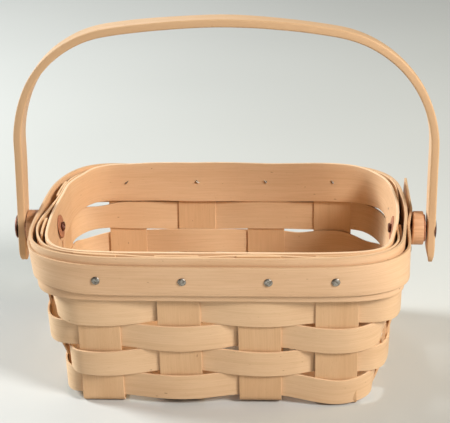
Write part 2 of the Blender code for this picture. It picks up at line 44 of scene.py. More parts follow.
# Shape of the wall, measured at the middle of the upright splints
layer = {"splint": 0.0013, "hoop": 0.0018, "trim": 0.0016, "gap": 0.0003}
gap = layer["gap"]
hoopOffset = 1.5 * layer["splint"] + 2 * gap + layer["hoop"] / 2
innerFace = hoopOffset + layer["hoop"] / 2
trimOffset = innerFace + gap + layer["trim"] / 2
trimFace = trimOffset + layer["trim"] / 2
wall = {
    "height": 0.1016,
    "halfLength": 0.115 - trimFace,
    "halfDepth": 0.08255 - trimFace,
    "bandHeight": 0.0282,
    "innerHeight": 0.0255,
    "frontTaperShare": 0.08,
    "endTaperShare": 0.05,
    "endDrawShare": 0.175,      # of the height below the hoops, growing as its square
    "rimSquareness": 5.0,
    "bandSquareness": 8.0,
    "baseSquareness": 9.0,
    "longPlaces": (-0.071124, -0.0232, 0.024216, 0.0696),
    "crossPlaces": (-0.032, 0.032),
    "uprightWidth": 0.0254,
    "cornerLength": 0.0848,     # x where a corner starts on the long walls
    "cornerDepth": 0.0457,      # y where it starts on the end walls
    "baseBow": 0.0015,          # lift of the base's middle
    "bowReach": 0.0696,
    "sampleStep": 0.002,        # height over which the wall's slope is measured
}
bandBottom = wall["height"] - wall["bandHeight"]
pivotHeight = wall["height"] - wall["bandHeight"] / 2
front, right, back, left = range(4)
cornerSigns = {front: (1, -1), right: (1, 1), back: (-1, 1), left: (-1, -1)}


def halfLength(z):
    drawn = wall["endDrawShare"] * max(0.0, bandBottom - z) ** 2 / bandBottom
    return wall["halfLength"] - wall["endTaperShare"] * (wall["height"] - z) - drawn


def halfDepth(z):
    return wall["halfDepth"] - wall["frontTaperShare"] * (wall["height"] - z)


def squareness(z):
    if z > bandBottom:
        share = (z - bandBottom) / wall["bandHeight"]
        return wall["bandSquareness"] + (wall["rimSquareness"] - wall["bandSquareness"]) * share
    return wall["baseSquareness"] + (wall["bandSquareness"] - wall["baseSquareness"]) * z / bandBottom


def quarterPoint(turn, z):
    power = 2 / squareness(z)
    return halfLength(z) * sin(turn) ** power, halfDepth(z) * cos(turn) ** power


def turnAtLength(x, z):
    return asin(min(1.0, (abs(x) / halfLength(z)) ** (squareness(z) / 2)))


def turnAtDepth(y, z):
    return pi / 2 - asin(min(1.0, (abs(y) / halfDepth(z)) ** (squareness(z) / 2)))


def outwardFlat(x, y, z):
    power = squareness(z) - 1
    across = (abs(x) / halfLength(z)) ** power / halfLength(z)
    depth = (abs(y) / halfDepth(z)) ** power / halfDepth(z)
    size = hypot(across, depth)
    return Vector(((across if x >= 0 else -across) / size, (depth if y >= 0 else -depth) / size, 0.0))


# A place is (side, distance along a flat wall) or (side, share of the corner after it, True)
def wallPoint(place, z):
    side, along = place[0], place[1]
    if len(place) == 3:
        start = turnAtLength(wall["cornerLength"], z)
        turn = start + (turnAtDepth(wall["cornerDepth"], z) - start) * along
        signs = cornerSigns[side]
    elif side in (front, back):
        turn = turnAtLength(along, z)
        signs = (1 if along >= 0 else -1, -1 if side == front else 1)
    else:
        turn = turnAtDepth(along, z)
        signs = (1 if side == right else -1, 1 if along >= 0 else -1)
    x, y = quarterPoint(turn, z)
    return Vector((x * signs[0], y * signs[1], z))


def wallLean(place, z):
    step = wall["sampleStep"]
    rise = (wallPoint(place, z + step) - wallPoint(place, z - step)).normalized()
    flat = outwardFlat(*wallPoint(place, z))
    out = Vector((-flat.y, flat.x, 0.0)).cross(rise).normalized()
    if out.dot(flat) < 0:
        out.negate()
    return rise, out


def bowLift(x):
    return wall["baseBow"] * max(0.0, 1 - (x / wall["bowReach"]) ** 2)


# Every place round the basket, walked anticlockwise seen from above, with the uprights marked
def ringPlaces(fine, cornerFine=22):
    places = []
    for side in (front, right, back, left):
        isLong = side in (front, back)
        edge = wall["cornerLength"] if isLong else wall["cornerDepth"]
        keys = [-edge, *(wall["longPlaces"] if isLong else wall["crossPlaces"]), edge]
        run = []
        for number, (low, high) in enumerate(zip(keys, keys[1:])):
            for step in range(fine):
                marked = number - 1 if step == 0 and number else None
                run.append(((side, low + (high - low) * step / fine), marked))
        run.append(((side, edge), None))
        if side in (back, left):
            run.reverse()
        places += run
        shares = [step / cornerFine for step in range(1, cornerFine)]
        if side in (right, left):
            shares.reverse()
        places += [((side, share, True), None) for share in shares]
    return places


def outsideHere(side, number, row):
    return ((side in (front, right)) == (number % 2 == 0)) == (row % 2 == 1)


def blendIn(value, start, end):
    share = min(1.0, max(0.0, (value - start) / (end - start)))
    return share * share * (3 - 2 * share)


# Samples of the wall at one height, with the distance walked
class Ring:
    def __init__(self, z, fine=10):
        self.samples = []
        self.uprights = []
        walked = 0.0
        for place, number in ringPlaces(fine):
            point = wallPoint(place, z)
            if self.samples:
                walked += (point - self.samples[-1][1]).length
            if number is not None:
                self.uprights.append((walked, place[0], number))
            self.samples.append((walked, point, *wallLean(place, z)))
        self.length = walked + (self.samples[0][1] - self.samples[-1][1]).length

    # point, rising direction and outward direction at a distance walked
    def at(self, distance):
        distance %= self.length
        low, high = 0, len(self.samples)
        while high - low > 1:
            middle = (low + high) // 2
            if self.samples[middle][0] <= distance:
                low = middle
            else:
                high = middle
        first, second = self.samples[low], self.samples[high % len(self.samples)]
        share = (distance - first[0]) / ((second[0] or self.length) - first[0])
        point, rise, out = [first[key] + (second[key] - first[key]) * share for key in (1, 2, 3)]
        return point, rise.normalized(), out.normalized()

    def upright(self, side, number):
        return next(place for place, wallSide, count in self.uprights if (wallSide, count) == (side, number))

    def near(self, x, y):
        return min(self.samples, key=lambda sample: hypot(sample[1].x - x, sample[1].y - y))[0]

    # Sum of one kind of smooth swellings, each (x, y, reach before, reach after, amount) in millimetres, or
    # with a share as its amount. The walk goes along the front to the right: before is left on the front,
    # towards the front on the right end, right on the back and towards the back on the left end.
    def swell(self, distance, swellings, kind):
        total = 0.0
        for x, y, before, after, amount in swellings.get(kind, ()):
            away = (distance - self.near(x / 1000, y / 1000) + self.length / 2) % self.length - self.length / 2
            total += amount * (1 - blendIn(abs(away), 0.0, (before if away < 0 else after) / 1000))
        return total / 1000 if kind in ("bulges", "lifts") else total

    # +1 where a row passes outside an upright, -1 where inside, eased between them
    def weave(self, distance, row):
        distance %= self.length
        held = [(place, 1.0 if outsideHere(side, number, row) else -1.0) for place, side, number in self.uprights]
        held = [(held[-1][0] - self.length, held[-1][1])] + held + [(held[0][0] + self.length, held[0][1])]
        for (before, low), (after, high) in zip(held, held[1:]):
            if before <= distance <= after:
                share = (distance - before) / (after - before)
                return low + (high - low) * (1 - cos(pi * share)) / 2
        return 0.0


print("wall measured")


# Small helpers for node trees
def addNode(tree, kind, inputs=None, **settings):
    node = tree.nodes.new(kind)
    for key, value in settings.items():
        setattr(node, key, value)
    for key, value in (inputs or {}).items():
        if isinstance(value, bpy.types.NodeSocket):
            tree.links.new(value, node.inputs[key])
        else:
            node.inputs[key].default_value = value
    return node


def newTree(kind, name, inputs, outputs):
    tree = bpy.data.node_groups.new(name, kind)
    for label, socket, *value in inputs:
        entry = tree.interface.new_socket(label, in_out="INPUT", socket_type="NodeSocket" + socket)
        if value:
            entry.default_value = value[0]
    for label, socket in outputs:
        tree.interface.new_socket(label, in_out="OUTPUT", socket_type="NodeSocket" + socket)
    return tree, tree.nodes.new("NodeGroupInput").outputs, tree.nodes.new("NodeGroupOutput").inputs


def mathNode(tree, operation, *values):
    return addNode(tree, "ShaderNodeMath", dict(enumerate(values)), operation=operation).outputs[0]


# Adding, subtracting and multiplying in one tree
def sumsFor(tree):
    return [lambda *values, name=name: mathNode(tree, name, *values) for name in ("ADD", "SUBTRACT", "MULTIPLY")]


def vectorNode(tree, operation, *values):
    return addNode(tree, "ShaderNodeVectorMath", dict(enumerate(values)), operation=operation).outputs


def scaleVector(tree, vector, factor):
    return addNode(tree, "ShaderNodeVectorMath", {0: vector, "Scale": factor}, operation="SCALE").outputs[0]


def combine(tree, *values):
    return addNode(tree, "ShaderNodeCombineXYZ", dict(enumerate(values))).outputs[0]


def noiseAt(tree, place, scale, detail, roughness, shift):
    moved = vectorNode(tree, "MULTIPLY", place, scale)[0]
    inputs = {"Vector": moved, "W": shift, "Scale": 1.0, "Detail": detail, "Roughness": roughness}
    return addNode(tree, "ShaderNodeTexNoise", inputs, noise_dimensions="4D").outputs[0]


def mixColour(tree, kind, factor, first, second):
    inputs = {0: factor, 6: first, 7: second}
    return addNode(tree, "ShaderNodeMix", inputs, data_type="RGBA", blend_type=kind, clamp_factor=True).outputs[2]


def spread(tree, value, low, high, to=(0.0, 1.0)):
    inputs = {"Value": value, "From Min": low, "From Max": high, "To Min": to[0], "To Max": to[1]}
    return addNode(tree, "ShaderNodeMapRange", inputs, interpolation_type="SMOOTHSTEP").outputs[0]


def namedField(tree, name, kind="FLOAT"):
    return addNode(tree, "GeometryNodeInputNamedAttribute", {"Name": name}, data_type=kind).outputs["Attribute"]


def endTree(tree, geometry, given, result):
    real = addNode(tree, "GeometryNodeRealizeInstances", {"Geometry": geometry}).outputs[0]
    painted = addNode(tree, "GeometryNodeSetMaterial", {"Geometry": real, "Material": given["Material"]})
    tree.links.new(painted.outputs[0], result[0])
    return tree


# Geometry Nodes: one flat splint, bent along a path whose points carry its directions
splintWaver = {
    "edgeScale": 34.0, "faceScale": 75.0, "faceSeed": 7.3,
    "detail": 1.5, "roughness": 0.5,
    "edgeShare": 2.6, "faceShare": 0.7,
    "cutEdgeShare": 0.6,      # of the edge's radius, which the finish paints in the edge colour: paler cut wood on most strips, painted shade on the outer hoop, trim and handle
}


def makeSplintTree():
    waver = splintWaver
    tree, given, result = newTree("GeometryNodeTree", "flatSplint", (
        ("Geometry", "Geometry"), ("Width", "Float", 0.016), ("Thickness", "Float", 0.0013),
        ("Edge Radius", "Float", 0.0003), ("Edge Steps", "Int", 2), ("Cuts", "Int", 3),
        ("Unevenness", "Float", 0.0002), ("Seed", "Float", 0.0), ("Sharp Angle", "Float", 0.3),
        ("Material", "Material")), (("Geometry", "Geometry"),))
    plus, minus, times = sumsFor(tree)
    position = tree.nodes.new("GeometryNodeInputPosition").outputs[0]
    halfWidth = times(given["Width"], 0.5)

    def capture(geometry, name):
        node = tree.nodes.new("GeometryNodeCaptureAttribute")
        node.capture_items.new("VECTOR", name)
        tree.links.new(geometry, node.inputs["Geometry"])
        tree.links.new(position, node.inputs[name])
        return node.outputs["Geometry"], node.outputs[name]

    def store(geometry, name, kind, value):
        inputs = {"Geometry": geometry, "Name": name, "Value": value}
        return addNode(tree, "GeometryNodeStoreNamedAttribute", inputs, data_type=kind, domain="POINT").outputs[0]

    # the cut section, with more points across its broad sides
    block = addNode(tree, "GeometryNodeCurvePrimitiveQuadrilateral", {
        "Width": given["Width"], "Height": given["Thickness"]})
    eased = addNode(tree, "GeometryNodeFilletCurve", {
        "Curve": block.outputs[0], "Count": given["Edge Steps"], "Radius": given["Edge Radius"]}, mode="POLY").outputs[0]
    index = tree.nodes.new("GeometryNodeInputIndex").outputs[0]
    size = addNode(tree, "GeometryNodeAttributeDomainSize", {0: eased}, component="CURVE")
    following = mathNode(tree, "MODULO", plus(index, 1.0), size.outputs["Point Count"])
    nextPoint = addNode(tree, "GeometryNodeFieldAtIndex", {"Index": following, "Value": position}, data_type="FLOAT_VECTOR")
    reach = vectorNode(tree, "DISTANCE", nextPoint.outputs[0], position)["Value"]
    cuts = times(mathNode(tree, "GREATER_THAN", reach, halfWidth), given["Cuts"])
    divided = addNode(tree, "GeometryNodeSubdivideCurve", {"Curve": eased, "Cuts": cuts}).outputs[0]
    section, sectionPlace = capture(divided, "Section")

    # the path, and the strip along it
    path = addNode(tree, "GeometryNodeMeshToCurve", {"Mesh": given["Geometry"]}).outputs[0]
    centre, centrePlace = capture(path, "Centre")
    strip = addNode(tree, "GeometryNodeCurveToMesh", {
        "Curve": centre, "Profile Curve": section, "Fill Caps": True}).outputs[0]

    # every point is put where the path's own directions say
    across, through = addNode(tree, "ShaderNodeSeparateXYZ", {0: sectionPlace}).outputs[:2]
    along = namedField(tree, "along")
    place = combine(tree, along, across, through)
    acrossShare = mathNode(tree, "DIVIDE", across, halfWidth)

    def unevenness(scale, shift):
        noise = noiseAt(tree, place, (scale,) * 3, waver["detail"], waver["roughness"], plus(given["Seed"], shift))
        return times(minus(noise, 0.5), given["Unevenness"])

    edgeWaver, faceWaver = unevenness(waver["edgeScale"], 0.0), unevenness(waver["faceScale"], waver["faceSeed"])
    sag = times(times(acrossShare, acrossShare), namedField(tree, "cup"))
    thick = times(through, namedField(tree, "thin"))
    depth = minus(plus(thick, times(faceWaver, waver["faceShare"])), sag)
    edgeShift = times(edgeWaver, times(mathNode(tree, "ABSOLUTE", acrossShare), waver["edgeShare"]))
    wide = times(plus(across, edgeShift), namedField(tree, "wide"))
    outward = scaleVector(tree, namedField(tree, "outward", "FLOAT_VECTOR"), depth)
    sideways = scaleVector(tree, namedField(tree, "sideways", "FLOAT_VECTOR"), wide)
    final = vectorNode(tree, "ADD", vectorNode(tree, "ADD", centrePlace, outward)[0], sideways)[0]
    placed = addNode(tree, "GeometryNodeSetPosition", {"Geometry": strip, "Position": final}).outputs[0]

    # what the finish reads: a place in the wood, and where the cut edges are
    grain = store(placed, "grainPlace", "FLOAT_VECTOR", combine(tree, along, wide, depth))
    edgeStart = minus(halfWidth, times(given["Edge Radius"], waver["cutEdgeShare"]))
    isEdge = mathNode(tree, "GREATER_THAN", mathNode(tree, "ABSOLUTE", across), edgeStart)
    edge = store(grain, "cutEdge", "FLOAT", isEdge)
    smooth = addNode(tree, "GeometryNodeSetShadeSmooth", {"Geometry": edge, "Shade Smooth": True}, domain="FACE")
    angle = tree.nodes.new("GeometryNodeInputMeshEdgeAngle").outputs["Unsigned Angle"]
    isSharp = mathNode(tree, "GREATER_THAN", angle, given["Sharp Angle"])
    crisp = addNode(tree, "GeometryNodeSetShadeSmooth", {
        "Geometry": smooth.outputs[0], "Selection": isSharp, "Shade Smooth": False}, domain="EDGE")
    return endTree(tree, crisp.outputs[0], given, result)


# Geometry Nodes: one fastener shape repeated on points that carry their outward direction
def makeFastenerTree():
    tree, given, result = newTree("GeometryNodeTree", "rimFasteners", (
        ("Geometry", "Geometry"), ("Fastener", "Object"), ("Tilt", "Float", 0.05), ("Seed", "Int", 3),
        ("Material", "Material")), (("Geometry", "Geometry"),))
    tilt = given["Tilt"]
    shape = addNode(tree, "GeometryNodeObjectInfo", {"Object": given["Fastener"]}).outputs["Geometry"]
    outward = {"Vector": namedField(tree, "outward", "FLOAT_VECTOR")}
    facing = addNode(tree, "FunctionNodeAlignRotationToVector", outward, axis="Z")
    less = mathNode(tree, "MULTIPLY", tilt, -1.0)
    turn = addNode(tree, "FunctionNodeRandomValue", {
        0: combine(tree, less, less), 1: combine(tree, tilt, tilt, 6.2), "Seed": given["Seed"]}, data_type="FLOAT_VECTOR")
    rotation = addNode(tree, "FunctionNodeEulerToRotation", {0: turn.outputs[0]})
    mixed = addNode(tree, "FunctionNodeRotateRotation", {
        0: facing.outputs[0], 1: rotation.outputs[0]}, rotation_space="LOCAL")
    copies = addNode(tree, "GeometryNodeInstanceOnPoints", {
        "Points": given["Geometry"], "Instance": shape, "Rotation": mixed.outputs[0]})
    return endTree(tree, copies.outputs[0], given, result)


splintTree = makeSplintTree()
fastenerTree = makeFastenerTree()


def runTree(item, tree, values):
    modifier = item.modifiers.new(tree.name, "NODES")
    modifier.node_group = tree
    for entry in tree.interface.items_tree:
        if entry.item_type == "SOCKET" and entry.in_out == "INPUT" and entry.name in values:
            modifier[entry.identifier] = values[entry.name]
    evaluated = item.evaluated_get(bpy.context.evaluated_depsgraph_get())
    mesh = bpy.data.meshes.new_from_object(evaluated)
    mesh.name = item.name
    item.modifiers.remove(modifier)
    spare = item.data
    item.data = mesh
    bpy.data.meshes.remove(spare)
    turnOutward(mesh)
    return item


def turnOutward(mesh):
    shape = bmesh.new()
    shape.from_mesh(mesh)
    if shape.calc_volume(signed=True) < 0:
        bmesh.ops.reverse_faces(shape, faces=shape.faces)
        shape.to_mesh(mesh)
    shape.free()


def addObject(name, data):
    item = bpy.data.objects.new(name, data)
    bpy.context.scene.collection.objects.link(item)
    return item


def addVectors(mesh, name, vectors):
    flat = [number for vector in vectors for number in vector]
    mesh.attributes.new(name, "FLOAT_VECTOR", "POINT").data.foreach_set("vector", flat)


# A path is a list of (point, outward direction, shares of its width and thickness and its cup)
def bendSplint(name, path, values):
    points = [entry[0] for entry in path]
    last = len(points) - 1
    mesh = bpy.data.meshes.new(name + "Path")
    mesh.from_pydata(points, [(key, key + 1) for key in range(last)], [])
    walked, along, outs, sides = 0.0, [], [], []
    for key, (point, out, options) in enumerate(path):
        walked += (point - points[key - 1]).length if key else 0.0
        along.append(walked)
        tangent = (points[min(key + 1, last)] - points[max(key - 1, 0)]).normalized()
        sides.append(out.cross(tangent).normalized())
        outs.append(tangent.cross(sides[-1]).normalized())
    columns = {"along": along}
    for label, usual in (("wide", 1.0), ("thin", 1.0), ("cup", 0.0)):
        columns[label] = [options.get(label, usual) for point, out, options in path]
    for label, numbers in columns.items():
        mesh.attributes.new(label, "FLOAT", "POINT").data.foreach_set("value", numbers)
    addVectors(mesh, "outward", outs)
    addVectors(mesh, "sideways", sides)
    return runTree(addObject(name, mesh), splintTree, values)


# One entry of a path, moved out and up from the wall by its offset, its lift and its swellings
def bandPoint(ring, distance, point, rise, out, offset, lift, swellings, thin=1.0):
    bulge, raised, pinch, lean = [
        ring.swell(distance, swellings, kind) for kind in ("bulges", "lifts", "pinches", "leans")]
    place = point + out * (offset + bulge) + rise * (lift + raised)
    return place, (out - rise * lean).normalized(), {"thin": thin, "wide": 1 - pinch}


def keepPiece(item, nodes, body="basket"):
    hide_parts(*nodes)
    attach(item, body)


# Maple split along its grain: fibres, growth bands, flecks and a few specks, with the cut edges in their own edge
# colour: paler on most strips, and darker as painted shade on the outer hoop, trim and handle
mapleShades = {
    "tone": (0.86, 0.76, 0.66, 1), "fleck": (0.66, 0.52, 0.40, 1), "speck": (0.36, 0.22, 0.14, 1),
    "toneShare": 0.34, "fleckShare": 0.35, "edgeShare": 0.75, "drift": 0.004,
}
finishOutputs = (("Colour", "Color"), ("Height", "Float"), ("Roughness", "Float"))


def makeMapleGroup():
    tree, given, result = newTree("ShaderNodeTree", "mapleGrain", (
        ("Place", "Vector"), ("Cut Edge", "Float", 0.0), ("Light", "Color", (0.8, 0.6, 0.4, 1)),
        ("Dark", "Color", (0.6, 0.4, 0.2, 1)), ("Edge Colour", "Color", (0.9, 0.7, 0.5, 1)),
        ("Shift", "Float", 0.0), ("Fibre", "Float", 0.5), ("Bands", "Float", 0.5), ("Specks", "Float", 0.5),
    ), finishOutputs)
    plus, minus, times = sumsFor(tree)
    place, shades = given["Place"], mapleShades

    def grain(where, scale, detail, roughness, shift):
        return noiseAt(tree, where, scale, detail, roughness, plus(given["Shift"], shift))

    bend = grain(place, (9.0, 30.0, 30.0), 2.0, 0.5, 0.0)
    drift = combine(tree, 0.0, times(minus(bend, 0.5), shades["drift"]))
    moved = vectorNode(tree, "ADD", place, drift)[0]
    fibre = grain(moved, (55.0, 2600.0, 1500.0), 4.0, 0.62, 0.0)
    bands = grain(moved, (7.0, 420.0, 160.0), 2.5, 0.5, 3.7)
    tone = grain(place, (13.0, 45.0, 45.0), 2.0, 0.5, 9.1)
    fleck = grain(moved, (420.0, 2600.0, 900.0), 1.0, 0.5, 1.9)
    speck = grain(moved, (260.0, 620.0, 300.0), 1.0, 0.4, 5.3)
    colour = given["Light"]
    for kind, share, second in (
            ("MIX", times(spread(tree, fibre, 0.36, 0.68), given["Fibre"]), given["Dark"]),
            ("MIX", times(spread(tree, bands, 0.50, 0.74), given["Bands"]), given["Dark"]),
            ("MULTIPLY", spread(tree, tone, 0.35, 0.72, (0.0, shades["toneShare"])), shades["tone"]),
            ("MULTIPLY", times(spread(tree, fleck, 0.66, 0.78), shades["fleckShare"]), shades["fleck"]),
            ("MULTIPLY", times(spread(tree, speck, 0.765, 0.80), given["Specks"]), shades["speck"]),
            ("MIX", times(given["Cut Edge"], shades["edgeShare"]), given["Edge Colour"])):
        colour = mixColour(tree, kind, share, colour, second)
    tree.links.new(colour, result["Colour"])
    tree.links.new(plus(times(fibre, 0.7), times(bands, 0.5)), result["Height"])
    rough = plus(spread(tree, fibre, 0.3, 0.7, (0.50, 0.64)), times(given["Cut Edge"], 0.15))
    tree.links.new(rough, result["Roughness"])
    return tree


# Soiling that gathers on metal and leather: blotches, fine scratches and worn high spots
def makeWearGroup():
    tree, given, result = newTree("ShaderNodeTree", "agedSurface", (
        ("Place", "Vector"), ("Base", "Color", (0.4, 0.3, 0.2, 1)), ("Worn", "Color", (0.6, 0.4, 0.3, 1)),
        ("Dull", "Color", (0.2, 0.1, 0.1, 1)), ("Scale", "Float", 600.0), ("Low Roughness", "Float", 0.3),
        ("High Roughness", "Float", 0.6)), finishOutputs)
    scaled = scaleVector(tree, given["Place"], given["Scale"])
    broad, fine = [
        addNode(tree, "ShaderNodeTexNoise", {"Vector": scaled, "Scale": scale, "Detail": detail}).outputs[0]
        for scale, detail in ((0.8, 3.0), (5.0, 4.0))]
    colour = mixColour(tree, "MIX", spread(tree, broad, 0.38, 0.62), given["Base"], given["Dull"])
    worn = mathNode(tree, "MULTIPLY", spread(tree, fine, 0.55, 0.72), 0.6)
    tree.links.new(mixColour(tree, "MIX", worn, colour, given["Worn"]), result["Colour"])
    tree.links.new(fine, result["Height"])
    rough = addNode(tree, "ShaderNodeMapRange", {
        "Value": fine, "From Min": 0.3, "From Max": 0.7,
        "To Min": given["Low Roughness"], "To Max": given["High Roughness"]}).outputs[0]
    tree.links.new(rough, result["Roughness"])
    return tree


mapleGroup = makeMapleGroup()
wearGroup = makeWearGroup()


def newMaterial(name, constants):
    material = bpy.data.materials.new(name)
    material.use_nodes = True
    shader = material.node_tree.nodes["Principled BSDF"]
    for label, value in constants.items():
        shader.inputs[label].default_value = value
    return material, material.node_tree, shader


# A look gives the group's inputs by name; colours are three numbers
def finishMaterial(name, group, look, relief, depth, constants, fromObject=True):
    material, tree, shader = newMaterial(name, constants)
    inputs = {label: (*value, 1) if isinstance(value, tuple) else value for label, value in look.items()}
    if fromObject:
        inputs["Place"] = addNode(tree, "ShaderNodeTexCoord").outputs["Object"]
    else:
        for label, attribute, output in (("Place", "grainPlace", "Vector"), ("Cut Edge", "cutEdge", "Fac")):
            inputs[label] = addNode(tree, "ShaderNodeAttribute", attribute_name=attribute).outputs[output]
    made = addNode(tree, "ShaderNodeGroup", inputs, node_tree=group).outputs
    bump = addNode(tree, "ShaderNodeBump", {"Strength": relief, "Distance": depth, "Height": made["Height"]})
    for label, source in (("Base Color", made[0]), ("Roughness", made["Roughness"]), ("Normal", bump.outputs[0])):
        tree.links.new(source, shader.inputs[label])
    return material


mapleLook = {
    "weaver": {"Light": (0.73, 0.49, 0.29), "Dark": (0.56, 0.34, 0.175), "Edge Colour": (0.70, 0.47, 0.28)},
    "upright": {"Light": (0.68, 0.43, 0.235), "Dark": (0.54, 0.315, 0.155), "Edge Colour": (0.70, 0.46, 0.27)},
    "hoop": {"Light": (0.74, 0.485, 0.285), "Dark": (0.57, 0.335, 0.17), "Edge Colour": (0.80, 0.57, 0.37)},
    # The outer hoop, trim and handle get an edge colour darker than their faces: painted shade on their top and front
    # edges
    "outer": {"Light": (0.72, 0.47, 0.28), "Dark": (0.55, 0.33, 0.17), "Edge Colour": (0.56, 0.36, 0.205)},
    "trim": {"Light": (0.72, 0.47, 0.28), "Dark": (0.54, 0.32, 0.165), "Edge Colour": (0.54, 0.345, 0.195)},
    "handle": {"Light": (0.69, 0.46, 0.275), "Dark": (0.51, 0.31, 0.155), "Edge Colour": (0.58, 0.36, 0.19)},
}
mapleFinish = {"Fibre": 0.36, "Bands": 0.26, "Specks": 0.6}
mapleRelief, mapleDepth, wornDepth = 0.22, 0.00006, 0.00005
mapleConstants = {"Specular IOR Level": 0.35}


def mapleFor(kind, number):
    look = {**mapleFinish, **mapleLook[kind], "Shift": 11.3 * number + 2.0}
    return finishMaterial(f"{kind}Maple{number}", mapleGroup, look, mapleRelief, mapleDepth, mapleConstants, False)


print("finishes made")

# Weavers, one open strip a row, whose ends lap behind an upright of the front wall
weaverSettings = {
    "width": 0.0167,
    "topWidth": 0.0197,       # the first row reaches up behind the hoops
    "hiddenLess": 0.0008,     # the row between the hoops is this much narrower than the inner one
    "pitch": 0.0173,
    "hoopGap": 0.001,         # between the hoops' lower edge and the first row's usual place
    "wave": 0.0022,           # how far its middle goes out and in at the uprights
    "topWave": 0.0018,
    "hiddenWave": 0.0017,
    "dip": 0.0009,            # lower where it passes outside, higher where inside
    "stance": 0.95,           # at the ends a row stands plumb outside an upright, and leans more inside
    "lap": 0.020,
    "lapRamp": 0.016,         # over which its second end moves in behind the first
    "lapGap": 0.00015,
    "lapShare": 0.4,          # of that move, where the row is outside
    "step": 0.0022,
    "lapUprights": (2, 1, 2, 3, 0),
    "cut": {"Thickness": layer["splint"], "Edge Radius": 0.00032, "Cuts": 4},
    "unevenness": 0.00035,
    "hiddenUnevenness": 0.0001,
}
# By row; pinches are the share of its width that it loses there, plumb the share of the wall's lean
rowSwellings = (
    {"lifts": ((108, -5, 60, 60, -4.5),),
     "bulges": ((-109, -28, 45, 30, 2.0), (-103, 60, 26, 26, -1.0))},
    {"lifts": ((101.5, 56, 30, 22, -5.2), (80, 74, 14, 16, 1.0), (-90, 68, 22, 22, -0.8)),
     "bulges": ((-99, -60, 30, 24, -5.5), (99, -60, 30, 30, 0.6)),
     "pinches": ((-90, 68, 22, 22, 0.19), (-104, 40, 16, 30, -0.26))},
    {"lifts": ((94, 66, 30, 24, -3.2), (-96, 63, 24, 22, -1.4), (47, 75, 20, 20, -1.0)),
     "bulges": ((-98, -59, 34, 30, -0.3), (98, -59, 30, 30, -4.5)),
     "pinches": ((94, 66, 30, 24, 0.36), (-96, 63, 24, 22, 0.22), (47, 75, 20, 20, 0.10)),
     "plumb": ((-98, -59, 30, 26, 0.5),)},
    {"bulges": ((-96, -58, 32, 18, -7.8), (96, -58, 30, 30, -0.8)),
     "plumb": ((96, -58, 26, 30, 0.6),)},
    {"lifts": ((72, -66, 30, 20, -1.4),),
     "bulges": ((-90, -57, 34, 30, 0.3), (90, -57, 30, 30, -1.2)),
     "plumb": ((-90, -57, 34, 26, 1.0), (90, -57, 26, 34, 0.6))},
)


def stepsOver(total, step):
    count = ceil(total / step)
    return [total * key / count for key in range(count + 1)]


def rowMiddle(row):
    settings = weaverSettings
    if row == 0:
        return wall["height"] - wall["innerHeight"] / 2
    middle = bandBottom - settings["hoopGap"] - settings["width"] / 2 - (row - 1) * settings["pitch"]
    return middle + (settings["topWidth"] - settings["width"]) / 2 if row == 1 else middle


def makeWeaver(row):
    settings, swellings = weaverSettings, rowSwellings[row]
    wave = {0: settings["hiddenWave"], 1: settings["topWave"]}.get(row, settings["wave"])
    width = {0: wall["innerHeight"] - settings["hiddenLess"], 1: settings["topWidth"]}.get(row, settings["width"])
    ring = Ring(rowMiddle(row))
    start = ring.upright(front, settings["lapUprights"][row]) - settings["lap"] / 2
    path = []
    for walked in stepsOver(ring.length + settings["lap"], settings["step"]):
        distance = start + walked
        point, rise, out = ring.at(distance)
        share = ring.weave(distance, row)
        middleOut, lift = wave * share, 0.0
        if row:
            lift = bowLift(point.x) * row / 4 - settings["dip"] * share
            inward = blendIn(walked, ring.length - settings["lapRamp"], ring.length)
            inward *= (layer["splint"] + settings["lapGap"]) * (1.0 if share < 0 else settings["lapShare"])
            middleOut -= inward
            lean = (1 - settings["stance"] * share * out.x ** 2) * (1 - ring.swell(distance, swellings, "plumb"))
            out = Vector((out.x, out.y, out.z * lean)).normalized()
        path.append(bandPoint(ring, distance, point, rise, out, middleOut, lift, swellings))
    piece = bendSplint(f"splint_weaver_{row}", path, {
        **settings["cut"], "Width": width, "Seed": 3.1 * row, "Material": mapleFor("weaver", row),
        "Unevenness": settings["unevenness" if row else "hiddenUnevenness"]})
    keepPiece(piece, [f"weaver_row_{row}"])


for row in range(len(rowSwellings)):
    makeWeaver(row)
print("weavers woven")

# Upright splints: down a wall, under the base and up the far wall
uprightSettings = {
    "topDrop": 0.0004,
    "rightDrop": 0.004,
    "foldRadius": 0.004,
    "foldSteps": 9,
    "step": 0.003,
    "flatHalf": 0.009,         # a splint lies flat this far either side of a crossing
    "easeReach": 2.2,          # of flatHalf; crossings nearer than this are joined straight
    "crossingRise": 0.0016,
    "plumbHalf": 0.0068,       # half the height over which an outside row keeps it plumb
    "foot": -0.001,
    "curveFoot": 0.006,        # above this height the wall's slope and curve set in
    "curveRise": 0.010,
    "cut": {"Width": wall["uprightWidth"], "Thickness": layer["splint"], "Edge Radius": 0.00028, "Cuts": 5},
}


def easedLevel(keys, place):
    flat = uprightSettings["flatHalf"]
    for (low, lowLevel), (high, highLevel) in zip(keys, keys[1:]):
        if low <= place <= high:
            isWide = high - low > uprightSettings["easeReach"] * flat
            share = blendIn(place, low + flat, high - flat) if isWide else (place - low) / (high - low)
            return lowLevel + (highLevel - lowLevel) * share
    return keys[-1][1]


# Up an end wall a splint goes in steps: plumb behind the rows outside it, slanting behind the others
def steppedReach(z, depth, side, number):
    half = uprightSettings["plumbHalf"]
    keys = [(wall["height"], wall["height"]), (bandBottom, bandBottom)]
    for middle in [rowMiddle(row) for row in range(1, 5) if outsideHere(side, number, row)]:
        keys += [(middle + half, middle), (middle - half, middle)]
    keys.append((uprightSettings["foot"], 0.0 if outsideHere(side, number, 3) else rowMiddle(4)))
    for (high, upper), (low, lower) in zip(keys, keys[1:]):
        if low <= z <= high:
            plain = [quarterPoint(turnAtDepth(depth, level), level)[0] for level in (upper, lower)]
            return plain[0] + (plain[1] - plain[0]) * (high - z) / (high - low)
    return quarterPoint(turnAtDepth(depth, z), z)[0]


